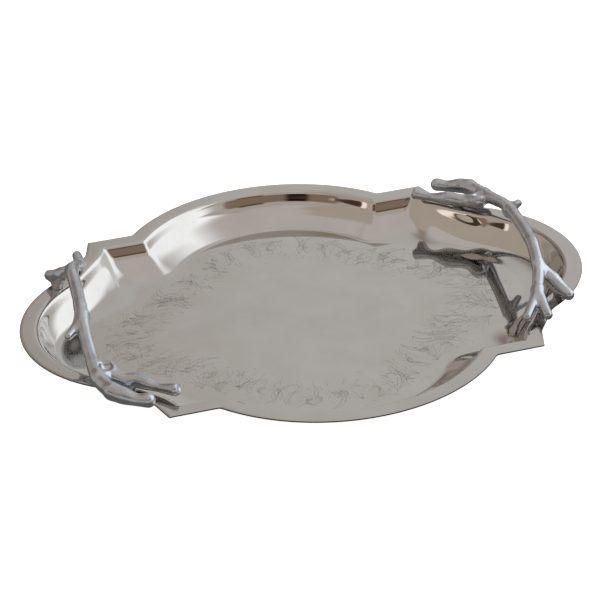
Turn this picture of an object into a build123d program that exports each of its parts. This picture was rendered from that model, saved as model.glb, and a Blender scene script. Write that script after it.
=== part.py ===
from build123d import *
import os
from math import cos, hypot, radians, sin, sqrt

# Serving tray: one pressed stainless sheet with a lobed rim, and two cast branch-shaped
# handles that are screwed down on the rim from below.
# Millimetres. +X runs along the tray, from handle to handle. +Y runs across it. +Z is up.
# The origin is on the table, under the middle of the tray.

# ---- the sheet ---------------------------------------------------------------------------
sheet = 1.2                 # thickness of the pressed sheet
well_depth = 25.0           # from the top of the rim down to the floor of the well

# ---- the rim outline, seen from above (one quadrant, the others mirror it) -----------------
side_centre = 66.0          # Y of the centre of each long side's arc
side_radius = 151.0         # radius of each long side's arc
end_centre = 131.0          # X of the centre of each end lobe
end_radius = 119.0          # radius of each end lobe
ear = (160.0, 160.0)        # the pointed corner between a side arc and an end lobe
notch = (167.0, 136.0)      # where the ear's short side turns into the slanting neck
neck_angle = 60.3           # where the neck meets the end lobe, about the lobe's centre

# ---- the wall of the well, from the rim inward ----------------------------------------------
flange_width = 15.5         # flat top of the rim
brow_run = 2.5              # from the lip to just under its rounding
brow_drop = 3.0
throat_run = 4.5            # from there to the foot of the steep part of the wall
throat_drop = 13.0
cove_run_side = 24.0        # from there the wall runs out gently on the long sides
cove_run_end = 9.5          # and more steeply at the ends

# Each level's ear and notch move in by these shares of its inset, (ear x, ear y, notch x,
# notch y), and the end of its neck turns back by the last value, in degrees.
corner_pull = {
    "rim": (0.0, 0.0, 0.0, 0.0, 0.0),
    "lip": (0.75, 1.0, 0.75, 0.43, 2.0),
    "brow": (0.8, 1.0, 0.75, 0.5, 3.0),
    "throat": (0.75, 1.0, 0.72, 0.7, 7.0),
    "floor": (0.45, 1.03, 0.4, 1.16, 19.0),
}
notch_lean = 35.0           # direction in which a notch moves out as its outline grows
lip_stretch = 0.4           # how far the wall's outside stands out, in sheet thicknesses
wall_stretch = 0.9
floor_stretch = 0.5

# ---- fasteners: M4 pan head screws with washers ---------------------------------------------
screw_diameter = 4.0
screw_grip = 8.0            # length of thread inside the handle's foot
head_diameter = 7.6
head_height = 2.4
head_rounding = 1.08        # radius round the top of the head
recess_span = 4.0           # cross recess in the head
recess_slot = 1.0
recess_depth = 1.2
washer_diameter = 9.0
washer_thickness = 0.8
hole_clearance = 0.4        # the flange's holes are this much wider than the screw
thread_clearance = 0.1
bore_spare = 1.0            # the handle's bore goes this much deeper than the thread

# ---- the handles ---------------------------------------------------------------------------
foot_diameter = 9.0         # flat foot that sits on the rim
foot_height = 6.0
front_foot_along = 0.79     # how far along the neck, from its notch, one foot stands
front_foot_across = 0.37    # and how far across the flat of the rim
back_foot_angle = 50.0      # where the other foot stands, about the centre of the end lobe

rim_top = sheet + well_depth
brow_inset = flange_width + brow_run
throat_inset = brow_inset + throat_run
length = 2 * (end_centre + end_radius)
width = 2 * (side_centre + side_radius)


# ---- outlines --------------------------------------------------------------------------------
def level(name, drop, side_inset, end_inset):
    """A closed outline of the wall: its depth under the rim and how far in it lies."""
    ear_x, ear_y, notch_x, notch_y, turn = corner_pull[name]
    return {
        "drop": drop,
        "side_r": side_radius - side_inset,
        "end_r": end_radius - end_inset,
        "ear": (ear[0] - ear_x * side_inset, ear[1] - ear_y * side_inset),
        "notch": (notch[0] - notch_x * side_inset, notch[1] - notch_y * side_inset),
        "angle": neck_angle - turn,
    }


rim_level = level("rim", 0, 0, 0)
lip_level = level("lip", 0, flange_width, flange_width)
brow_level = level("brow", brow_drop, brow_inset, brow_inset)
throat_level = level("throat", throat_drop, throat_inset, throat_inset)
floor_level = level("floor", well_depth, throat_inset + cove_run_side, throat_inset + cove_run_end)
wall_levels = [lip_level, brow_level, throat_level, floor_level]


def outline(lv, z, grow=0.0):
    """The lobed outline at height z, with every edge moved out by grow."""
    side_r = lv["side_r"] + grow
    end_r = lv["end_r"] + grow
    ear_x, ear_y = lv["ear"][0] + grow, lv["ear"][1] + grow
    notch_x = lv["notch"][0] + grow * cos(radians(notch_lean))
    notch_y = lv["notch"][1] + grow * sin(radians(notch_lean))
    shoulder_x = sqrt(side_r**2 - (ear_y - side_centre) ** 2)
    neck_x = end_centre + end_r * cos(radians(lv["angle"]))
    neck_y = end_r * sin(radians(lv["angle"]))
    corner = [(shoulder_x, ear_y), (ear_x, ear_y), (notch_x, notch_y), (neck_x, neck_y)]

    def at(sx, sy, point):
        return Vector(sx * point[0], sy * point[1], z)

    edges = []
    for sx, sy in ((1, 1), (1, -1), (-1, -1), (-1, 1)):
        run = corner if sx == sy else corner[::-1]
        points = [at(sx, sy, p) for p in run]
        edges += [Line(a, b) for a, b in zip(points, points[1:])]
        if sx == sy:
            tip = Vector(sx * (end_centre + end_r), 0, z)
            edges.append(ThreePointArc(points[-1], tip, at(sx, -sy, corner[-1])))
        else:
            tip = Vector(0, sy * (side_centre + side_r), z)
            edges.append(ThreePointArc(points[-1], tip, at(-sx, sy, corner[0])))
    return Wire(edges)


def skin(levels):
    """A closed solid through outlines given as (level, height, grow)."""
    return Solid.make_loft([outline(lv, z, grow) for lv, z, grow in levels], ruled=True)


# ---- the two places on the rim where each handle is screwed down ----------------------------
def foot_places():
    """Front and back foot of the left handle: halfway across the flat of the rim."""
    neck = (end_centre + end_radius * cos(radians(neck_angle)), end_radius * sin(radians(neck_angle)))
    along = (neck[0] - notch[0], neck[1] - notch[1])
    neck_length = hypot(*along)
    inward = (along[1] / neck_length, -along[0] / neck_length)
    step = flange_width * front_foot_across
    front = (notch[0] + front_foot_along * along[0] + inward[0] * step,
             notch[1] + front_foot_along * along[1] + inward[1] * step)
    middle = end_radius - flange_width / 2
    back = (end_centre + middle * cos(radians(back_foot_angle)), middle * sin(radians(back_foot_angle)))
    return Vector(-front[0], -front[1]), Vector(-back[0], back[1])


front_foot, back_foot = foot_places()
feet = {"left_front": front_foot, "left_back": back_foot,
        "right_back": front_foot.rotate(Axis.Z, 180), "right_front": back_foot.rotate(Axis.Z, 180)}


# ---- pressed tray ---------------------------------------------------------------------------
def make_tray():
    hollow = skin([(lv, rim_top - lv["drop"], 0.0) for lv in wall_levels])
    under = lip_stretch * sheet
    outer = skin([
        (lip_level, rim_top - sheet, under),
        (brow_level, rim_top - brow_drop - under, wall_stretch * sheet),
        (throat_level, rim_top - throat_drop - under, wall_stretch * sheet),
        (floor_level, 0.0, floor_stretch * sheet),
    ])
    flange = extrude(Face(outline(rim_level, rim_top - sheet)), amount=sheet, dir=(0, 0, 1))
    tray = flange + outer - hollow
    hole = (screw_diameter + hole_clearance) / 2
    for place in feet.values():
        drill = Cylinder(hole, 4 * sheet)
        tray -= Pos(place.X, place.Y, rim_top - sheet / 2) * drill
    return tray


# ---- cast handles ----------------------------------------------------------------------------
# A limb is a chain of knots: share of the way from the front foot to the back foot, distance
# outward from the line between the feet, height over the rim, and radius.
tip_dome = ((0.55, 0.84), (0.85, 0.5))     # a tip's reach and width, in its last knot's radii
beam = [(-0.066, 18.0, 9.8, 7.0), (0.055, 22.0, 11.0, 6.6), (0.18, 19.5, 17.6, 5.8),
        (0.315, 15.5, 25.6, 5.6), (0.435, 10.5, 30.6, 6.0), (0.56, 5.0, 33.6, 5.8),
        (0.68, 0.5, 34.0, 5.7), (0.8, -4.5, 31.6, 5.7), (0.935, -13.0, 23.5, 5.5),
        (1.035, -24.0, 14.2, 5.3)]
up_tine = [(1.035, -24.0, 14.2, 5.3), (1.125, -28.2, 10.4, 4.7), (1.19, -30.6, 7.2, 4.6)]
out_tine = [(0.91, -11.0, 24.5, 5.2), (0.975, -4.5, 15.0, 6.6), (1.025, -0.5, 8.8, 6.6),
            (1.07, 2.4, 6.7, 5.2)]
stub = [(0.43, 10.0, 29.0, 6.0), (0.375, 19.0, 26.6, 5.0), (0.333, 28.6, 24.6, 3.6)]
outer_twig = [(-0.066, 18.0, 9.8, 7.0), (-0.108, 12.0, 9.0, 7.3), (-0.15, 3.5, 7.2, 5.6),
              (-0.183, -4.5, 7.6, 6.3)]
inner_twig = [(0.105, 11.0, 11.3, 7.8), (0.045, 3.5, 7.4, 5.2), (-0.02, -8.5, 8.0, 6.5),
              (-0.09, -19.0, 5.9, 4.2), (-0.148, -29.6, 7.2, 5.7)]
web = [(0.055, 22.0, 11.0, 6.6), (0.06, 10.0, 8.8, 5.8), (0.0, 0.0, 6.4, 5.0)]
heel = [(0.975, -3.5, 14.0, 6.0), (1.0, 0.0, 6.4, 5.3)]
inner_tine = [(1.035, -24.0, 14.2, 5.3), (1.105, -36.0, 10.4, 4.6), (1.16, -46.8, 6.6, 4.4)]


def knot_place(share, out, up):
    span = back_foot - front_foot
    outward = Vector(-span.Y, span.X).normalized()
    flat = front_foot + span * share + outward * out
    return Vector(flat.X, flat.Y, rim_top + up)


def limb(chain):
    """One smooth branch through the knots of a chain, with a rounded tip at each end."""
    places = [knot_place(*knot[:3]) for knot in chain]
    radii = [knot[3] for knot in chain]
    ahead = places[1:] + places[-1:]
    behind = places[:1] + places[:-1]
    ways = [(b - a).normalized() for a, b in zip(behind, ahead)]
    rings = list(zip(places, ways, radii))
    for reach, share in tip_dome:
        rings.insert(0, (places[0] - ways[0] * radii[0] * reach, ways[0], radii[0] * share))
        rings.append((places[-1] + ways[-1] * radii[-1] * reach, ways[-1], radii[-1] * share))
    circles = []
    for place, way, radius in rings:
        level_dir = Vector(way.Y, -way.X, 0)
        circles.append(Wire.make_circle(radius, Plane(origin=place, x_dir=level_dir, z_dir=way)))
    return Solid.make_loft(circles)


def make_handle(limbs):
    pieces = [limb(chain) for chain in limbs]
    for foot in (front_foot, back_foot):
        pad = Cylinder(foot_diameter / 2, foot_height)
        pieces.append(Pos(foot.X, foot.Y, rim_top + foot_height / 2) * pad)
    casting = pieces[0].fuse(*pieces[1:])
    casting -= Pos(0, 0, rim_top / 2) * Box(length, width, rim_top)
    tapped = (screw_diameter + thread_clearance) / 2
    for foot in (front_foot, back_foot):
        bore = Cylinder(tapped, screw_grip + bore_spare, align=(Align.CENTER, Align.CENTER, Align.MIN))
        casting -= Pos(foot.X, foot.Y, rim_top) * bore
    return casting


# ---- fasteners ---------------------------------------------------------------------------------
def make_screw(place):
    """Pan head screw that comes up through washer and sheet into the handle's foot."""
    up = (Align.CENTER, Align.CENTER, Align.MIN)
    seat = rim_top - sheet - washer_thickness
    head = Cylinder(head_diameter / 2, head_height, align=up)
    head = fillet(head.edges().group_by(Axis.Z)[0], head_rounding)
    recess = Box(recess_span, recess_slot, recess_depth, align=up)
    recess += Rot(0, 0, 90) * recess
    head -= recess
    shank = Cylinder(screw_diameter / 2, washer_thickness + sheet + screw_grip, align=up)
    screw = Pos(0, 0, seat - head_height) * head + Pos(0, 0, seat) * shank
    return Pos(place.X, place.Y, 0) * screw


def make_washer(place):
    ring = Cylinder(washer_diameter / 2, washer_thickness)
    ring -= Cylinder((screw_diameter + hole_clearance) / 2, washer_thickness)
    return Pos(place.X, place.Y, rim_top - sheet - washer_thickness / 2) * ring


# ---- build -------------------------------------------------------------------------------------
common_limbs = [beam, up_tine, out_tine, stub, outer_twig, inner_twig, web, heel]
parts = {
    "tray_body": make_tray(),
    "handle_left": make_handle(common_limbs),
    "handle_right": Rot(0, 0, 180) * make_handle(common_limbs + [inner_tine]),
}
for name, place in feet.items():
    parts["screw_" + name] = make_screw(place)
    parts["washer_" + name] = make_washer(place)

os.makedirs("parts", exist_ok=True)
for name, shape in parts.items():
    export_step(shape, f"parts/{name}.step")
    box = shape.bounding_box()
    print(name, len(shape.solids()), "solid,", round(shape.volume), "mm3,", box.min, box.max)
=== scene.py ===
from math import atan2, cos, pi, radians, sin, sqrt

import bpy
import numpy as np
from mathutils import Matrix, Vector


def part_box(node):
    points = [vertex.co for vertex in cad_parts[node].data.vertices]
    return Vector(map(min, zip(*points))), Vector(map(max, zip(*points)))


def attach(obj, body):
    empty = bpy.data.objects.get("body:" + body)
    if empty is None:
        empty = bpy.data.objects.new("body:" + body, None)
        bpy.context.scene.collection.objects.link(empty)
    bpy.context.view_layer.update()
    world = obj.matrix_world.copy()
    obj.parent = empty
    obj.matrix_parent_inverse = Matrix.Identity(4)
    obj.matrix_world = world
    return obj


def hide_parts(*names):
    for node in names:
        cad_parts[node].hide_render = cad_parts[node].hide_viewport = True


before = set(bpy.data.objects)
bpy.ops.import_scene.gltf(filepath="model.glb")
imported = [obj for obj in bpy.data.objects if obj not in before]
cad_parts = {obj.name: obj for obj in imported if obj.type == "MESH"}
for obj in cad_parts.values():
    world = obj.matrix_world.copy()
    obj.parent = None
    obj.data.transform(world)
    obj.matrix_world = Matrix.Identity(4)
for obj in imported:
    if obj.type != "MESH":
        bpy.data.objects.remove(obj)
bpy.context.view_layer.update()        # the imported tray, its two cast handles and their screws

mm = 0.001               # every size in the lists below is in millimetres
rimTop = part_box("tray_body")[1].z / mm
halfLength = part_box("tray_body")[1].x / mm
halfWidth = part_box("tray_body")[1].y / mm


# Small helpers for colours, nodes and meshes.
def linear(hexColour):
    # picker colours are sRGB, the shaders want linear light
    parts = [int(hexColour[i:i + 2], 16) / 255 for i in (1, 3, 5)]
    return [p / 12.92 if p <= 0.04045 else ((p + 0.055) / 1.055) ** 2.4 for p in parts] + [1.0]


def addNode(tree, kind, settings=None, inputs=None):
    node = tree.nodes.new(kind)
    for name, value in (settings or {}).items():
        setattr(node, name, value)
    for name, value in (inputs or {}).items():
        if isinstance(value, bpy.types.NodeSocket):
            tree.links.new(value, node.inputs[name])
        else:
            node.inputs[name].default_value = value
    return node


def newMaterial(name):
    material = bpy.data.materials.new(name)
    material.use_nodes = True
    tree = material.node_tree
    tree.nodes.clear()
    place = addNode(tree, "ShaderNodeTexCoord").outputs["Object"]
    return material, tree, place


def closeMaterial(tree, settings):
    shader = addNode(tree, "ShaderNodeBsdfPrincipled", inputs=settings)
    addNode(tree, "ShaderNodeOutputMaterial", inputs={"Surface": shader.outputs["BSDF"]})


def perMetre(size):
    return 1 / (size * mm)      # texture scale that repeats about once in size


def meshPiece(name, points, faces, materials, faceMaterials=None):
    mesh = bpy.data.meshes.new(name)
    mesh.from_pydata(np.asarray(points) * mm, [], faces)
    for material in materials:
        mesh.materials.append(material)
    if faceMaterials is not None:
        mesh.polygons.foreach_set("material_index", np.asarray(faceMaterials, np.int32))
    mesh.shade_smooth()
    mesh.validate()
    piece = bpy.data.objects.new(name, mesh)
    bpy.context.scene.collection.objects.link(piece)
    return piece


# Finishes, named for the real material and how its surface was made.
def spread(tree, value, low, high):
    # a texture's middle range stretched over low..high
    return addNode(tree, "ShaderNodeMapRange", inputs={
        "Value": value, "From Min": 0.3, "From Max": 0.7, "To Min": low, "To Max": high}).outputs["Result"]


def polishedStainless(name, tint, smearTint, low, high, wave):
    # stainless steel, pressed and buffed: hard reflections that swim a little over the sheet
    material, tree, place = newMaterial(name)
    smear = addNode(tree, "ShaderNodeTexNoise", inputs={
        "Vector": place, "Scale": perMetre(38), "Detail": 3.0, "Roughness": 0.55}).outputs["Fac"]
    haze = addNode(tree, "ShaderNodeMix", {"data_type": "RGBA"}, {
        "Factor": spread(tree, smear, 0.0, 1.0), "A": linear(tint), "B": linear(smearTint)})
    swell = addNode(tree, "ShaderNodeTexNoise", inputs={
        "Vector": place, "Scale": perMetre(55), "Detail": 1.0}).outputs["Fac"]
    bump = addNode(tree, "ShaderNodeBump", inputs={
        "Height": swell, "Strength": 1.0, "Distance": wave * mm})
    closeMaterial(tree, {
        "Base Color": haze.outputs[2], "Metallic": 1.0,
        "Roughness": spread(tree, smear, low, high), "Normal": bump.outputs["Normal"]})
    return material


def shearedEdgeAndPaintedShade():
    # blanked and deburred edge of the sheet: really duller than the buffed faces, and its dark tone is
    # painted shade under the rim
    material, tree, place = newMaterial("sheared_edge_and_painted_shade")
    grain = addNode(tree, "ShaderNodeTexNoise", inputs={
        "Vector": place, "Scale": perMetre(2.5), "Detail": 4.0}).outputs["Fac"]
    # the two dark tones are the edge's own dull grey with painted shade under the rim mixed in
    tone = addNode(tree, "ShaderNodeMix", {"data_type": "RGBA"}, {
        "Factor": grain, "A": linear("#3C3835"), "B": linear("#67625D")})
    closeMaterial(tree, {"Base Color": tone.outputs[2], "Metallic": 1.0,
                         "Roughness": spread(tree, grain, 0.3, 0.5)})
    return material


def etchedStainless():
    # acid etched line in stainless: a matt dark groove, broken where the etch ran thin
    material, tree, place = newMaterial("acid_etched_line")
    bite = addNode(tree, "ShaderNodeTexNoise", inputs={
        "Vector": place, "Scale": perMetre(4), "Detail": 3.0}).outputs["Fac"]
    tone = addNode(tree, "ShaderNodeMix", {"data_type": "RGBA"}, {
        "Factor": spread(tree, bite, 0.0, 1.0), "A": linear("#5B5753"), "B": linear("#9A958F")})
    closeMaterial(tree, {"Base Color": tone.outputs[2], "Metallic": 1.0,
                         "Roughness": spread(tree, bite, 0.36, 0.24)})
    return material


def tumbledAluminium():
    # cast aluminium, tumbled then hand buffed: soft cool grey with slow dents and fine pits
    material, tree, place = newMaterial("tumble_polished_cast_aluminium")
    cloud = addNode(tree, "ShaderNodeTexNoise", inputs={
        "Vector": place, "Scale": perMetre(14), "Detail": 4.0, "Roughness": 0.6}).outputs["Fac"]
    tone = addNode(tree, "ShaderNodeMix", {"data_type": "RGBA"}, {
        "Factor": spread(tree, cloud, 0.0, 1.0), "A": linear("#ABAEB3"), "B": linear("#C9CCD0")})
    dents = addNode(tree, "ShaderNodeTexNoise", inputs={
        "Vector": place, "Scale": perMetre(7), "Detail": 1.0}).outputs["Fac"]
    softBump = addNode(tree, "ShaderNodeBump", inputs={
        "Height": dents, "Strength": 1.0, "Distance": 0.03 * mm})
    # real pits are about 0.1 mm, drawn at 1.6 mm so that they show
    pits = addNode(tree, "ShaderNodeTexNoise", inputs={
        "Vector": place, "Scale": perMetre(1.6), "Detail": 1.0}).outputs["Fac"]
    fineBump = addNode(tree, "ShaderNodeBump", inputs={
        "Height": pits, "Strength": 0.3, "Distance": 0.004 * mm, "Normal": softBump.outputs["Normal"]})
    closeMaterial(tree, {
        "Base Color": tone.outputs[2], "Metallic": 1.0,
        "Roughness": spread(tree, cloud, 0.2, 0.32), "Normal": fineBump.outputs["Normal"]})
    return material


def platedSteel(name, tint, lineWidth):
    # turned or stamped steel with bright zinc plate: fine rings and a faint blue cast
    material, tree, place = newMaterial(name)
    rings = addNode(tree, "ShaderNodeTexNoise", inputs={
        "Vector": place, "Scale": perMetre(lineWidth), "Detail": 2.0}).outputs["Fac"]
    tone = addNode(tree, "ShaderNodeMix", {"data_type": "RGBA"}, {
        "Factor": rings, "A": linear(tint), "B": linear("#D8DCE0")})
    bump = addNode(tree, "ShaderNodeBump", inputs={
        "Height": rings, "Strength": 0.4, "Distance": 0.02 * mm})
    closeMaterial(tree, {
        "Base Color": tone.outputs[2], "Metallic": 1.0,
        "Roughness": spread(tree, rings, 0.22, 0.38), "Normal": bump.outputs["Normal"]})
    return material


def palePaper(glow):
    # seamless studio paper: matt, almost white, lit from behind as well
    material, tree, place = newMaterial("pale_backdrop_paper")
    fibre = addNode(tree, "ShaderNodeTexNoise", inputs={
        "Vector": place, "Scale": perMetre(300), "Detail": 2.0}).outputs["Fac"]
    tone = addNode(tree, "ShaderNodeMix", {"data_type": "RGBA"}, {
        "Factor": fibre, "A": linear("#F4F4F3"), "B": linear("#FAFAF9")})
    closeMaterial(tree, {"Base Color": tone.outputs[2], "Roughness": 0.9,
                         "Emission Color": linear("#FFFFFF"), "Emission Strength": glow})
    return material


rimSteel = polishedStainless("mirror_polished_stainless", "#C9C5C0", "#C1BDB8", 0.045, 0.085, 0.10)
floorSteel = polishedStainless("buffed_floor_stainless", "#CBC7C2", "#C3BFB9", 0.025, 0.05, 0.05)
backSteel = polishedStainless("satin_underside_stainless", "#BDB9B4", "#B0ACA7", 0.2, 0.32, 0.05)
# cut rim edge: real dull finish plus painted shade under the rim in its dark colour
edgeSteelAndPaintedShade = shearedEdgeAndPaintedShade()
etchSteel = etchedStainless()
castAluminium = tumbledAluminium()
screwSteel = platedSteel("zinc_plated_screw_steel", "#AEB4BA", 0.6)
washerSteel = platedSteel("zinc_plated_washer_steel", "#B9BDC0", 1.4)
print("finishes ready")


# The pressed tray: rings of points from the rim in to the floor, over and under the sheet.
tray = {
    "sheet": 1.2,
    "wellDepth": 25.0,
    "sideCentre": 66.0,        # each long side is an arc about a point this far out
    "endCentre": 131.0,        # and each end lobe about one this far along
    "ear": (160.0, 160.0),     # pointed corner
    "notch": (167.0, 136.0),   # where its short side turns into the neck
    "neckAngle": 60.3,         # degrees, where the neck meets the end lobe
    "flange": 15.5,
    "edgeRound": 0.35,
    "floorRings": 14,
}
sideRadius = halfWidth - tray["sideCentre"]
endRadius = halfLength - tray["endCentre"]

# Outlines of the wall. side and end: how far in from the rim. drop: how far down. ear, notch:
# their own shift. turn: how far the neck's end moves back. soft: how far each of the four
# corners (shoulder, ear, notch, neck) is rounded.
levels = {
    "rim": {"side": 0, "end": 0, "drop": 0, "ear": (0, 0), "notch": (0, 0), "turn": 0,
            "soft": (2.5, 0.7, 4, 5)},
    "lip": {"side": 15.5, "end": 15.5, "drop": 0, "ear": (11.6, 15.5), "notch": (11.6, 6.7), "turn": 2,
            "soft": (2.5, 2.5, 5, 6)},
    "throat": {"side": 22.5, "end": 22.5, "drop": 13, "ear": (16.9, 22.5), "notch": (16.2, 15.8), "turn": 7,
               "soft": (4, 6, 8, 10)},
    "floor": {"side": 46.5, "end": 32, "drop": 25, "ear": (20.9, 47.9), "notch": (18.6, 53.9), "turn": 19,
              "soft": (14, 14, 12, 20)},
}
# How much of the faces on both sides each fold of the wall takes up, as shares of their widths.
# At the floor it grows from fold to fold plus extra between the two distances from the middle.
folds = {
    "lip": (0.2, 0.26),
    "throat": (0.42, 0.5),
    "floor": (0.12, 0.22),
    "floorExtra": (0.34, 1.1),
    "extraFrom": 85.0,
    "extraOver": 50.0,
    "innerShare": 0.93,        # the ring that the fold at the floor leans on
}
rows = {"rim": 3, "lip": 9, "wall": 2, "throat": 13, "cove": 3, "floor": 13}
samples = {"arc": 52, "corner": 9, "shoulder": 12, "ear": 8, "neck": 14}


def straight(a, b, count):
    share = np.linspace(0, 1, count, endpoint=False)[:, None]
    return a + (b - a) * share


def bend(a, corner, b, count):
    share = np.linspace(0, 1, count, endpoint=False)[:, None]
    return a * (1 - share) ** 2 + corner * 2 * share * (1 - share) + b * share ** 2


def toward(a, b, distance):
    return a + (b - a) * (distance / np.linalg.norm(b - a))


def outline(name):
    level = levels[name]
    sideR, endR = sideRadius - level["side"], endRadius - level["end"]
    ear = np.array(tray["ear"]) - level["ear"]
    notch = np.array(tray["notch"]) - level["notch"]
    reach = sqrt(sideR ** 2 - (ear[1] - tray["sideCentre"]) ** 2)
    shoulder = np.array((reach, ear[1]))
    lean = radians(tray["neckAngle"] - level["turn"])

    def sideArc(angle):
        return np.stack((sideR * np.sin(angle), tray["sideCentre"] + sideR * np.cos(angle)), -1)

    def endArc(angle):
        return np.stack((tray["endCentre"] + endR * np.cos(angle), endR * np.sin(angle)), -1)

    neck = endArc(lean)
    swing = atan2(reach, ear[1] - tray["sideCentre"])
    softShoulder, softEar, softNotch, softNeck = level["soft"]
    sideStop = swing - softShoulder / sideR
    endStart = lean - softNeck / endR
    shoulderOut = toward(shoulder, ear, softShoulder)
    earIn, earOut = toward(ear, shoulder, softEar), toward(ear, notch, softEar)
    notchIn, notchOut = toward(notch, ear, softNotch), toward(notch, neck, softNotch)
    neckIn = toward(neck, notch, softNeck)
    quarter = np.concatenate([
        sideArc(np.linspace(0, sideStop, samples["arc"], endpoint=False)),
        bend(sideArc(sideStop), shoulder, shoulderOut, samples["corner"]),
        straight(shoulderOut, earIn, samples["shoulder"]),
        bend(earIn, ear, earOut, samples["corner"]),
        straight(earOut, notchIn, samples["ear"]),
        bend(notchIn, notch, notchOut, samples["corner"]),
        straight(notchOut, neckIn, samples["neck"]),
        bend(neckIn, neck, endArc(endStart), samples["corner"]),
        endArc(np.linspace(endStart, 0, samples["arc"] + 1)),
    ])
    half = np.concatenate([quarter[:-1], quarter[::-1] * (1, -1)])
    return np.concatenate([half[:-1], -half[:-1]])


def ringAt(name):
    flat = outline(name)
    height = np.full((len(flat), 1), rimTop - levels[name]["drop"])
    return np.hstack([flat, height])


def blend3(a, b, c, count):
    # a round from a to c that leans on b, for whole rings at once
    shares = np.linspace(0, 1, count)
    return [a * (1 - s) ** 2 + b * 2 * s * (1 - s) + c * s ** 2 for s in shares]


def between(a, b, count):
    return [a + (b - a) * s for s in np.linspace(0, 1, count + 2)[1:-1]]


def wallRings():
    rim, lip, throat, floor = (ringAt(name) for name in levels)
    inner = floor * (folds["innerShare"], folds["innerShare"], 1)
    edge = tray["edgeRound"]
    inward = (lip - rim) / np.linalg.norm(lip - rim, axis=1)[:, None]
    start = rim + inward * edge
    before, after = folds["lip"]
    lipIn, lipOut = lip + (rim - lip) * before, lip + (throat - lip) * after
    before, after = folds["throat"]
    throatIn, throatOut = throat + (lip - throat) * before, throat + (floor - throat) * after
    # the fold at the floor is crisp along the sides and runs out softly at the ends
    share = np.clip((np.abs(floor[:, :1]) - folds["extraFrom"]) / folds["extraOver"], 0, 1)
    loose = share * share * (3 - 2 * share)
    before, after = (fold + extra * loose for fold, extra in zip(folds["floor"], folds["floorExtra"]))
    floorIn, floorOut = floor + (throat - floor) * before, floor + (inner - floor) * after
    rings = [start] + between(start, lipIn, rows["rim"]) + blend3(lipIn, lip, lipOut, rows["lip"])
    rings += between(lipOut, throatIn, rows["wall"]) + blend3(throatIn, throat, throatOut, rows["throat"])
    rings += between(throatOut, floorIn, rows["cove"]) + blend3(floorIn, floor, floorOut, rows["floor"])
    wallCount = len(rings)
    for s in np.linspace(1, 0.03, tray["floorRings"])[1:]:
        rings.append(floorOut * (s, s, 1))
    return rings, wallCount


def gridNormals(rings):
    grid = np.stack(rings)
    around = np.roll(grid, -1, axis=1) - np.roll(grid, 1, axis=1)
    across = np.gradient(grid, axis=0)
    normal = np.cross(across, around)
    normal /= np.linalg.norm(normal, axis=2)[:, :, None]
    return normal * np.sign(normal[0, 0, 2])


def makeTray():
    rings, wallCount = wallRings()
    normals = gridNormals(rings)
    under = [ring - normal * tray["sheet"] for ring, normal in zip(rings, normals)]
    rim = ringAt("rim")
    edge, sheet = tray["edgeRound"], tray["sheet"]
    middle = rim - (0, 0, sheet / 2)
    nose = []
    for angle in np.linspace(90, -90, 9)[1:-1]:
        # the cut edge is rounded over half the sheet's thickness
        push = (1 - cos(radians(angle))) * edge
        shift = (rings[0] - rim) / edge
        nose.append(middle + shift * push + (0, 0, sin(radians(angle)) * sheet / 2))
    stack = rings[::-1] + nose + under
    count, around = len(stack), len(rim)
    points = np.concatenate(stack + [np.array([[0, 0, rings[-1][0, 2]]]), np.array([[0, 0, 0]])])
    faces, marks = [], []
    topFloor, topWall = len(rings) - wallCount, len(rings) - 1
    for k in range(count - 1):
        if k < topFloor:
            mark = 1
        elif k < topWall:
            mark = 0
        elif k < topWall + len(nose) + 1:
            mark = 2
        else:
            mark = 3
        for i in range(around):
            j = (i + 1) % around
            faces.append((k * around + i, k * around + j, (k + 1) * around + j, (k + 1) * around + i))
            marks.append(mark)
    topCentre, lowCentre = count * around, count * around + 1
    for i in range(around):
        j = (i + 1) % around
        faces.append((topCentre, j, i))
        marks.append(1)
        last = (count - 1) * around
        faces.append((lowCentre, last + i, last + j))
        marks.append(3)
    piece = meshPiece("pressed_tray", points, faces, [rimSteel, floorSteel, edgeSteelAndPaintedShade, backSteel], marks)
    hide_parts("tray_body")
    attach(piece, "root")
    print("tray pressed:", len(faces), "faces")
    return rings[wallCount - 1]


floorEdge = makeTray()


# The leaf border that is etched round the floor.
border = {
    "outer": 0.955,            # where the band starts and ends, as shares of the floor outline
    "inner": 0.64,
    "lineWidth": 0.36,         # real lines are about 0.2 wide, drawn wider so that they show
    "lineHeight": 0.012,
    "lineRoot": 0.12,
    "motifs": 110,
    "richAt": 130.0,           # the pattern is richest this far from the middle and beyond
    "plainSize": 0.62,         # size of a motif where the pattern is plainest
    "seed": 7,
}
# Sizes are shares of the band's width unless they say otherwise: the least, and how much more
# chance may add. weight: thickness of a line against lineWidth.
motifs = {
    "root": (0.04, 0.3),       # depth in the band
    "swing": (0.3, 0.9),       # lean from straight inward, in radians
    "nestDeeper": 0.2,
    "nest": (0.36, 0.24),
    "nestScrolls": 4,
    "fan": (0.42, 0.34),
    "fanStrokes": (5, 2),      # everywhere, and more where it is rich
    "fanOpening": 1.2,
    "leaf": (0.6, 0.3),
    "leafCurl": (0.9, 1.0),
    "leafWidth": 0.11,
    "ray": (0.12, 0.22),
    "rayRoot": (0.35, 0.4),
    "rays": (2, 3),
    "tick": (2.5, 4.0),        # millimetres
    "ticks": (2, 3),
    "kinds": (0.34, 0.68),     # up to the first a nest, up to the second a fan, else a leaf
    "weight": {"rib": 0.9, "edge": 0.8, "vein": 0.55, "fan": 0.6, "ray": 0.6, "tick": 0.55},
}


def bandPoint(along, depth):
    # along: 0..1 round the floor. depth: 0 at the band's outside, 1 at its inside
    place = (along % 1.0) * len(floorEdge)
    low = int(place) % len(floorEdge)
    high = (low + 1) % len(floorEdge)
    edge = floorEdge[low] + (floorEdge[high] - floorEdge[low]) * (place - int(place))
    share = border["outer"] + (border["inner"] - border["outer"]) * depth
    return edge[:2] * share


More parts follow.
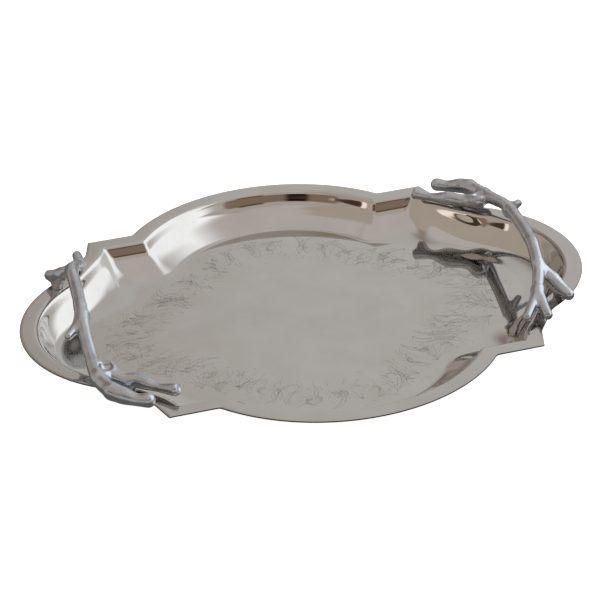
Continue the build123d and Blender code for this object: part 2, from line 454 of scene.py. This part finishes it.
def arcLengths():
    steps = np.linalg.norm(np.roll(floorEdge, -1, axis=0) - floorEdge, axis=1)
    return np.concatenate([[0], np.cumsum(steps)]) / steps.sum()


floorRun = arcLengths()


def evenAlong(share):
    # equal steps in share are equal steps along the outline
    return np.interp(share % 1.0, floorRun, np.linspace(0, 1, len(floorRun)))


def curvedStroke(start, heading, length, curl, count=7):
    # heading and curl in radians; curl is how much the stroke turns from end to end
    points = [np.array(start, float)]
    for step in range(count - 1):
        angle = heading + curl * (step + 0.5) / (count - 1)
        points.append(points[-1] + np.array((cos(angle), sin(angle))) * length / (count - 1))
    return points


def scroll(start, heading, length, curl, tight):
    # a stroke that winds up at its end
    points = [np.array(start, float)]
    angle, count = heading, 16
    for step in range(count):
        share = step / count
        angle += curl / count * (1 + tight * share * share)
        points.append(points[-1] + np.array((cos(angle), sin(angle))) * length / count * (1.25 - share))
    return points


def fan(root, heading, length, count, opening, strokes, random):
    # strokes that spread from one root and curl apart
    for k in range(count):
        lean = (k / (count - 1) - 0.5) * opening
        strokes.append((curvedStroke(root, heading + lean * 0.6, length * (0.75 + 0.4 * random.random()),
                                     lean * 1.3, 7), motifs["weight"]["fan"]))


def nest(centre, heading, size, count, flip, strokes):
    # scrolls that lie inside one another
    for k in range(count):
        reach = size * (1 - 0.24 * k)
        start = centre - np.array((cos(heading), sin(heading))) * reach * 0.45
        strokes.append((scroll(start, heading + flip * 0.9, reach * 1.5, -flip * 3.4, 2.0), 0.9 - 0.12 * k))


def leaf(root, heading, length, width, curl, strokes, random):
    # a bent rib, one edge and veins that run out to it
    rib = curvedStroke(root, heading, length, curl, 9)
    side = 1 if curl > 0 else -1
    edge = []
    for k, point in enumerate(rib):
        share = k / (len(rib) - 1)
        angle = heading + curl * share
        out = np.array((-sin(angle), cos(angle))) * side * width * sin(pi * share ** 0.7)
        edge.append(point - out)
        if 0 < k < len(rib) - 1:
            strokes.append((curvedStroke(point, angle - side * (0.7 + 0.3 * random.random()),
                                         np.linalg.norm(out) * 1.1, side * 0.5, 4),
                            motifs["weight"]["vein"]))
    strokes += [(rib, motifs["weight"]["rib"]), (edge, motifs["weight"]["edge"])]


def chance(name, random):
    least, more = motifs[name]
    return least + more * random.random()


def countOf(name, rich):
    least, more = motifs[name]
    return least + int(more * rich)


def strokesOfBorder():
    random = np.random.default_rng(border["seed"])
    strokes = []
    total = border["motifs"]
    for k in range(total):
        along = evenAlong((k + 0.8 * random.random()) / total)
        inward = bandPoint(along, 0.9) - bandPoint(along, 0.1)
        headingIn = atan2(inward[1], inward[0])
        band = np.linalg.norm(bandPoint(along, 1) - bandPoint(along, 0))
        rich = min(1.0, abs(bandPoint(along, 0)[0]) / border["richAt"])
        band *= border["plainSize"] + (1 - border["plainSize"]) * rich
        flip = 1 if random.random() < 0.5 else -1
        depth = chance("root", random)
        root, kind = bandPoint(along, depth), random.random()
        turn = headingIn + flip * chance("swing", random)
        nestBelow, fanBelow = motifs["kinds"]
        if kind < nestBelow:
            nest(bandPoint(along, depth + motifs["nestDeeper"]), turn, band * chance("nest", random),
                 motifs["nestScrolls"], flip, strokes)
        elif kind < fanBelow:
            fan(root, turn, band * chance("fan", random), countOf("fanStrokes", rich),
                motifs["fanOpening"], strokes, random)
        else:
            leaf(root, turn, band * chance("leaf", random), band * motifs["leafWidth"],
                 -flip * chance("leafCurl", random), strokes, random)
        # rays that fade into the plain middle
        for ray in range(countOf("rays", rich)):
            lean = 0.5 * random.standard_normal()
            start = bandPoint(along + 0.004 * random.standard_normal(), chance("rayRoot", random))
            strokes.append((curvedStroke(start, headingIn + lean, band * chance("ray", random),
                                         0.5 * random.standard_normal(), 5), motifs["weight"]["ray"]))
        # loose ticks between them
        for tick in range(countOf("ticks", rich)):
            start = bandPoint(along + 0.006 * random.standard_normal(), random.random() ** 1.4)
            strokes.append((curvedStroke(start, random.random() * 2 * pi, chance("tick", random),
                                         1.5 * random.standard_normal(), 4), motifs["weight"]["tick"]))
    return strokes


def makeBorder():
    # each line is a low closed bead with its root in the sheet
    floorTop = tray["sheet"]
    points, faces = [], []
    for path, weight in strokesOfBorder():
        path = np.array(path)
        ways = np.gradient(path, axis=0)
        ways /= np.linalg.norm(ways, axis=1)[:, None] + 1e-9
        sides = np.stack((-ways[:, 1], ways[:, 0]), -1)
        taper = np.sin(np.linspace(0.12, 0.88, len(path)) * pi) * 0.75 + 0.25
        half = border["lineWidth"] / 2 * weight * taper[:, None]
        base = len(points)
        for level, grow in ((-border["lineRoot"], 1.0), (border["lineHeight"], 0.8)):
            for side in (1, -1):
                flat = path + sides * half * side * grow
                points += [(x, y, floorTop + level) for x, y in flat]
        n = len(path)
        corners = (base, base + 2 * n, base + 3 * n, base + n)
        for a, b in zip(corners, corners[1:] + corners[:1]):
            faces += [(a + k, b + k, b + k + 1, a + k + 1) for k in range(n - 1)]
        faces.append(tuple(c for c in corners[::-1]))
        faces.append(tuple(c + n - 1 for c in corners))
    piece = meshPiece("etched_leaf_border", points, faces, [etchSteel])
    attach(piece, "root")
    print("border etched:", len(faces), "faces")


makeBorder()


# The cast handles: tubes along the limbs, run together into one skin.
handle = {
    "step": 0.8,               # mesh size
    "weld": 3.4,               # how softly limbs run into each other
    "slim": 0.25,              # taken off every radius to leave room for the lumps
    "lumps": 0.4,              # height of the slow lumps
    "lumpSize": 22,
    "lumpWaves": 7,
    "ripples": 0.02,
    "rippleSize": 7,
    "rippleWaves": 6,
    "hollowWeld": 1.6,
    "footWeld": 0.8,           # of the weld between limbs
    "footRadius": 4.5,
    "footHeight": 6.0,
    "seed": 11,
    "frontFootShare": 0.79,    # both feet of the left handle stand on the flat of the rim
    "frontFootAcross": 0.37,
    "backFootAngle": 50.0,
}

# A limb is a chain of knots: share of the way from the front foot to the back foot, outward
# from the line between the feet, height over the rim, radius.
limbs = {
    "beam": [(-0.066, 18.0, 9.8, 7.0), (0.055, 22.0, 11.0, 6.6), (0.18, 19.5, 17.6, 5.8),
             (0.315, 15.5, 25.6, 5.6), (0.435, 10.5, 30.6, 6.0), (0.56, 5.0, 33.6, 5.8),
             (0.68, 0.5, 34.0, 5.7), (0.8, -4.5, 31.6, 5.7), (0.935, -13.0, 23.5, 5.5),
             (1.035, -24.0, 14.2, 5.3)],
    "upTine": [(1.035, -24.0, 14.2, 5.3), (1.125, -28.2, 10.4, 4.7), (1.19, -30.6, 7.2, 4.6)],
    "outTine": [(0.91, -11.0, 24.5, 5.2), (0.975, -4.5, 15.0, 6.6), (1.025, -0.5, 8.8, 6.6),
                (1.07, 2.4, 6.7, 5.2)],
    "stub": [(0.43, 10.0, 29.0, 6.0), (0.375, 19.0, 26.6, 5.0), (0.333, 28.6, 24.6, 3.6)],
    "outerTwig": [(-0.066, 18.0, 9.8, 7.0), (-0.108, 12.0, 9.0, 7.3), (-0.15, 3.5, 7.2, 5.6),
                  (-0.183, -4.5, 7.6, 6.3)],
    "innerTwig": [(0.105, 11.0, 11.3, 7.8), (0.045, 3.5, 7.4, 5.2), (-0.02, -8.5, 8.0, 6.5),
                  (-0.09, -19.0, 5.9, 4.2), (-0.148, -29.6, 7.2, 5.7)],
    "web": [(0.055, 22.0, 11.0, 6.6), (0.06, 10.0, 8.8, 5.8), (0.0, 0.0, 6.4, 5.0)],
    "heel": [(0.975, -3.5, 14.0, 6.0), (1.0, 0.0, 6.4, 5.3)],
}
innerTine = [(1.035, -24.0, 14.2, 5.3), (1.105, -36.0, 10.4, 4.6), (1.16, -46.8, 6.6, 4.4)]

# Where a twig was sawn off it ends in a shallow hollow: place as above, and size.
hollows = [(0.088, 12.6, 18.2, 6.0), (-0.1665, -34.8, 9.9, 4.2)]


def footPlaces():
    lean = radians(tray["neckAngle"])
    neck = np.array((tray["endCentre"] + endRadius * cos(lean), endRadius * sin(lean)))
    notch = np.array(tray["notch"])
    along = neck - notch
    inward = np.array((along[1], -along[0])) / np.linalg.norm(along)
    front = notch + along * handle["frontFootShare"] + inward * tray["flange"] * handle["frontFootAcross"]
    middle, swing = endRadius - tray["flange"] / 2, radians(handle["backFootAngle"])
    back = np.array((tray["endCentre"] + middle * cos(swing), middle * sin(swing)))
    return np.array((-front[0], -front[1])), np.array((-back[0], back[1]))


frontFoot, backFoot = footPlaces()
footSpan = backFoot - frontFoot
footOut = np.array((-footSpan[1], footSpan[0])) / np.linalg.norm(footSpan)


def smoothChain(chain, parts=5):
    # rounds the chain: x, y, z and radius run through the knots on one smooth curve
    knots = []
    for share, out, up, radius in chain:
        knots.append((*placeOf(share, out, up), radius - handle["slim"]))
    knots = np.array(knots)
    padded = np.vstack([2 * knots[0] - knots[1], knots, 2 * knots[-1] - knots[-2]])
    rows = []
    for k in range(len(knots) - 1):
        a, b, c, d = padded[k:k + 4]
        for t in np.linspace(0, 1, parts, endpoint=False):
            rows.append(0.5 * (2 * b + (c - a) * t + (2 * a - 5 * b + 4 * c - d) * t * t
                               + (3 * b - a - 3 * c + d) * t ** 3))
    rows.append(knots[-1])
    return np.array(rows)


def chainDistance(points, rows):
    # distance to a tube of changing radius
    best = np.full(len(points), 1e3)
    for a, b in zip(rows, rows[1:]):
        way = b[:3] - a[:3]
        size = way @ way
        share = np.clip((points - a[:3]) @ way / size, 0, 1)
        gap = points - a[:3] - share[:, None] * way
        reach = np.sqrt((gap * gap).sum(1)) - (a[3] + (b[3] - a[3]) * share)
        np.minimum(best, reach, out=best)
    return best


def weld(a, b, size):
    share = np.clip(0.5 + 0.5 * (b - a) / size, 0, 1)
    return b + (a - b) * share - size * share * (1 - share)


def lumpField(points, size, height, count, random):
    total = np.zeros(len(points))
    for k in range(count):
        way = random.standard_normal(3)
        way *= 2 * pi / (size * (0.7 + 0.6 * random.random())) / np.linalg.norm(way)
        total += np.sin(points @ way + random.random() * 2 * pi)
    return total * height / count


def placeOf(share, out, up):
    x, y = frontFoot + footSpan * share + footOut * out
    return np.array((x, y, rimTop + up))


def castDistance(points, chains):
    total = None
    for rows in chains:
        reach = chainDistance(points, rows)
        total = reach if total is None else weld(total, reach, handle["weld"])
    for foot in (frontFoot, backFoot):
        flat = np.linalg.norm(points[:, :2] - foot, axis=1) - handle["footRadius"]
        tall = points[:, 2] - rimTop - handle["footHeight"]
        total = weld(total, np.maximum(flat, tall), handle["weld"] * handle["footWeld"])
    for share, out, up, radius in hollows:
        dent = radius - np.linalg.norm(points - placeOf(share, out, up), axis=1)
        total = -weld(-total, -dent, handle["hollowWeld"])
    random = np.random.default_rng(handle["seed"])
    total += lumpField(points, handle["lumpSize"], handle["lumps"], handle["lumpWaves"], random)
    total += lumpField(points, handle["rippleSize"], handle["ripples"], handle["rippleWaves"], random)
    return np.maximum(total, rimTop - points[:, 2])


def netSurface(distance, low, high, step):
    # one point in every cell that the surface crosses, one face for every edge it crosses
    counts = np.ceil((high - low) / step).astype(int) + 1
    axes = [low[k] + step * np.arange(counts[k]) for k in range(3)]
    coarse = 4
    coarseAxes = [axis[::coarse] for axis in axes]
    coarseGrid = np.stack(np.meshgrid(*coarseAxes, indexing="ij"), -1)
    coarseField = distance(coarseGrid.reshape(-1, 3)).reshape(coarseGrid.shape[:3])
    field = coarseField.repeat(coarse, 0).repeat(coarse, 1).repeat(coarse, 2)
    field = field[:counts[0], :counts[1], :counts[2]].copy()
    near = np.abs(field) < coarse * step * 2.2
    spots = np.argwhere(near)
    field[near] = distance(low + spots * step)
    inside = field < 0
    cells = np.zeros(tuple(counts - 1), int)
    for dx in (0, 1):
        for dy in (0, 1):
            for dz in (0, 1):
                cells += inside[dx:counts[0] - 1 + dx, dy:counts[1] - 1 + dy, dz:counts[2] - 1 + dz]
    cut = np.argwhere((cells > 0) & (cells < 8))
    index = np.full(tuple(counts - 1), -1)
    index[tuple(cut.T)] = np.arange(len(cut))
    points = low + (cut + 0.5) * step
    faces = []
    for axis in range(3):
        u, v = (axis + 1) % 3, (axis + 2) % 3
        ahead = [slice(None)] * 3
        ahead[axis] = slice(1, None)
        here = [slice(None)] * 3
        here[axis] = slice(0, -1)
        change = inside[tuple(here)].astype(int) - inside[tuple(ahead)].astype(int)
        for sign in (1, -1):
            edges = np.argwhere(change == sign)
            edges = edges[(edges[:, u] > 0) & (edges[:, v] > 0)]
            ring = []
            for du, dv in ((0, 0), (-1, 0), (-1, -1), (0, -1)):
                cell = edges.copy()
                cell[:, u] += du
                cell[:, v] += dv
                ring.append(index[tuple(cell.T)])
            quad = np.stack(ring if sign == 1 else ring[::-1], -1)
            faces.append(quad)
    return points, np.concatenate(faces)


def settle(points, distance, rounds=4):
    # pull every point onto the true surface
    probe = 0.05
    for k in range(rounds):
        here = distance(points)
        slope = np.stack([(distance(points + step) - here) / probe
                          for step in np.eye(3) * probe], -1)
        size = np.maximum((slope * slope).sum(1), 0.25)
        points = points - slope * (here / size)[:, None] * 0.9
    return points


def relax(points, faces, rounds=2):
    # evens the net out a little before the last settling
    for k in range(rounds):
        total = np.zeros_like(points)
        count = np.zeros(len(points))
        for a in range(4):
            for b in (1, 3):
                np.add.at(total, faces[:, a], points[faces[:, (a + b) % 4]])
                np.add.at(count, faces[:, a], 1)
        points = points * 0.5 + total / count[:, None] * 0.5
    return points


def makeHandle(name, node, chains, turned):
    def distance(points):
        return castDistance(points, chains)

    rows = np.vstack(chains)
    margin = 8.0
    low = rows[:, :3].min(0) - margin
    high = rows[:, :3].max(0) + margin
    low[2] = rimTop - 2.3 * handle["step"]
    points, faces = netSurface(distance, low, high, handle["step"])
    points = settle(points, distance, 2)
    points = relax(points, faces)
    points = settle(points, distance, 3)
    points[:, 2] = np.maximum(points[:, 2], rimTop)
    if turned:
        points = points * (-1, -1, 1)
    piece = meshPiece(name, points, faces.tolist(), [castAluminium])
    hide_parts(node)
    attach(piece, "root")
    print(name, "cast:", len(faces), "faces")


commonChains = [smoothChain(chain) for chain in limbs.values()]
makeHandle("branch_handle_left", "handle_left", commonChains, False)
makeHandle("branch_handle_right", "handle_right", commonChains + [smoothChain(innerTine)], True)


# Screws and washers keep their CAD shapes and get plated finishes.
for node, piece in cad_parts.items():
    if node.startswith("screw_") or node.startswith("washer_"):
        piece.data.materials.clear()
        piece.data.materials.append(screwSteel if node.startswith("screw_") else washerSteel)
print("fasteners plated")


# Stage, light and camera.
# glow: light that comes through the paper from below
stage = {"size": 24.0, "drop": 0.0003, "glow": 0.9}
bpy.ops.mesh.primitive_plane_add(size=stage["size"], location=(0, 0, -stage["drop"]))
backdrop = bpy.context.object
backdrop.name = "pale_floor"
backdrop.data.materials.append(palePaper(stage["glow"]))
backdrop.visible_glossy = False      # the steel mirrors the darker table of the studio instead

# The studio all round, which the polished metal mirrors. turn: degrees from +Y towards +X,
# height: degrees over the floor, wide and tall: half sizes, soft: width of the blurred border.
roomTone = "#D4D3D2"
panels = [
    {"name": "ceiling", "turn": 0, "wide": 400, "height": 90, "tall": 34, "soft": 16,
     "colour": "#DAD5D3", "strength": 1.0},
    {"name": "tableTop", "turn": 0, "wide": 400, "height": -90, "tall": 84, "soft": 8,
     "colour": "#7C7976", "strength": 0.9},
    {"name": "shadyCorner", "turn": -25, "wide": 30, "height": 26, "tall": 24, "soft": 24,
     "colour": "#9E8E86", "strength": 1.0},
    {"name": "leftWall", "turn": -82, "wide": 42, "height": 45, "tall": 35, "soft": 12,
     "colour": "#C9BEB3", "strength": 1.0},
    {"name": "window", "turn": 93, "wide": 42, "height": 34, "tall": 24, "soft": 16,
     "colour": "#F4F9FF", "strength": 1.65},
    {"name": "warmWall", "turn": 185, "wide": 60, "height": 48, "tall": 20, "soft": 8,
     "colour": "#CFC7C0", "strength": 1.0},
    {"name": "shelves", "turn": 195, "wide": 47, "height": 33, "tall": 8, "soft": 6,
     "colour": "#A08A7A", "strength": 0.9},
    {"name": "cabinet", "turn": 167, "wide": 12, "height": 44, "tall": 6, "soft": 4,
     "colour": "#6C5A4B", "strength": 1.0},
    {"name": "darkDoor", "turn": 208, "wide": 9, "height": 35, "tall": 7, "soft": 7,
     "colour": "#2A1810", "strength": 1.0},
    {"name": "doorway", "turn": -110, "wide": 13, "height": 21, "tall": 6, "soft": 1.5,
     "colour": "#4F4035", "strength": 1.0},
    {"name": "doorLampRight", "turn": -97, "wide": 2, "height": 22, "tall": 5, "soft": 1.5,
     "colour": "#FFF3E8", "strength": 1.5},
    {"name": "doorLampLeft", "turn": -124, "wide": 2, "height": 22, "tall": 5, "soft": 1.5,
     "colour": "#FFF3E8", "strength": 1.2},
]


def makeWorld():
    world = bpy.data.worlds.new("studio")
    bpy.context.scene.world = world
    world.use_nodes = True
    tree = world.node_tree
    tree.nodes.clear()
    way = addNode(tree, "ShaderNodeTexCoord").outputs["Generated"]
    split = addNode(tree, "ShaderNodeSeparateXYZ", inputs={"Vector": way})

    def compute(operation, first, second=0.0, third=None):
        inputs = {0: first, 1: second}
        if third is not None:
            inputs[2] = third
        return addNode(tree, "ShaderNodeMath", {"operation": operation}, inputs).outputs[0]

    turn = compute("MULTIPLY", compute("ARCTAN2", split.outputs["X"], split.outputs["Y"]), 180 / pi)
    height = compute("MULTIPLY", compute("ARCSINE", split.outputs["Z"]), 180 / pi)
    colour = linear(roomTone)
    for panel in panels:
        offset = compute("WRAP", compute("SUBTRACT", turn, float(panel["turn"])), 180.0, -180.0)
        across = compute("DIVIDE", compute("SUBTRACT", float(panel["wide"]), compute("ABSOLUTE", offset)),
                      float(panel["soft"]))
        upright = compute("DIVIDE", compute("SUBTRACT", float(panel["tall"]), compute(
            "ABSOLUTE", compute("SUBTRACT", height, float(panel["height"])))), float(panel["soft"]))
        cover = addNode(tree, "ShaderNodeMapRange", {"interpolation_type": "SMOOTHSTEP"}, {
            "Value": compute("MINIMUM", across, upright), "From Min": -0.5, "From Max": 0.5})
        glow = [c * panel["strength"] for c in linear(panel["colour"])[:3]] + [1.0]
        colour = addNode(tree, "ShaderNodeMix", {"data_type": "RGBA"}, {
            "Factor": cover.outputs["Result"], "A": colour, "B": glow}).outputs[2]
    light = addNode(tree, "ShaderNodeBackground", inputs={"Color": colour, "Strength": 1.0})
    addNode(tree, "ShaderNodeOutputWorld", inputs={"Surface": light.outputs["Background"]})


makeWorld()

softBox = {"size": 1.6, "place": (0.25, -0.35, 1.7), "power": 9.0}
lamp = bpy.data.lights.new("overhead_softbox", "AREA")
lamp.size = softBox["size"]
lamp.energy = softBox["power"]
lampObject = bpy.data.objects.new("overhead_softbox", lamp)
lampObject.location = softBox["place"]
lampObject.rotation_euler = (-Vector(softBox["place"])).to_track_quat("-Z", "Y").to_euler()
lampObject.visible_glossy = False
bpy.context.scene.collection.objects.link(lampObject)

view = {
    "turn": -14.94, "height": 29.01, "roll": -2.95,     # degrees
    "distance": 1970.6, "right": -4.11, "up": -7.47,
    "lens": 135.76,
}


def makeCamera():
    turn, height, roll = (radians(view[key]) for key in ("turn", "height", "roll"))
    back = Vector((sin(turn) * cos(height), -cos(turn) * cos(height), sin(height)))
    flatRight = Vector((cos(turn), sin(turn), 0))
    flatUp = back.cross(flatRight)
    right = flatRight * cos(roll) + flatUp * sin(roll)
    up = flatUp * cos(roll) - flatRight * sin(roll)
    aim = Vector((0, 0, rimTop)) + right * view["right"] + up * view["up"]
    place = (aim + back * view["distance"]) * mm
    data = bpy.data.cameras.new("camera")
    data.lens = view["lens"]
    data.sensor_width = 36.0
    data.clip_start, data.clip_end = 0.05, 50.0
    camera = bpy.data.objects.new("camera", data)
    camera.matrix_world = Matrix((
        (right.x, up.x, back.x, place.x),
        (right.y, up.y, back.y, place.y),
        (right.z, up.z, back.z, place.z),
        (0, 0, 0, 1)))
    bpy.context.scene.collection.objects.link(camera)
    bpy.context.scene.camera = camera


makeCamera()
bpy.context.scene.view_settings.view_transform = "Standard"
print("stage, light and camera set")
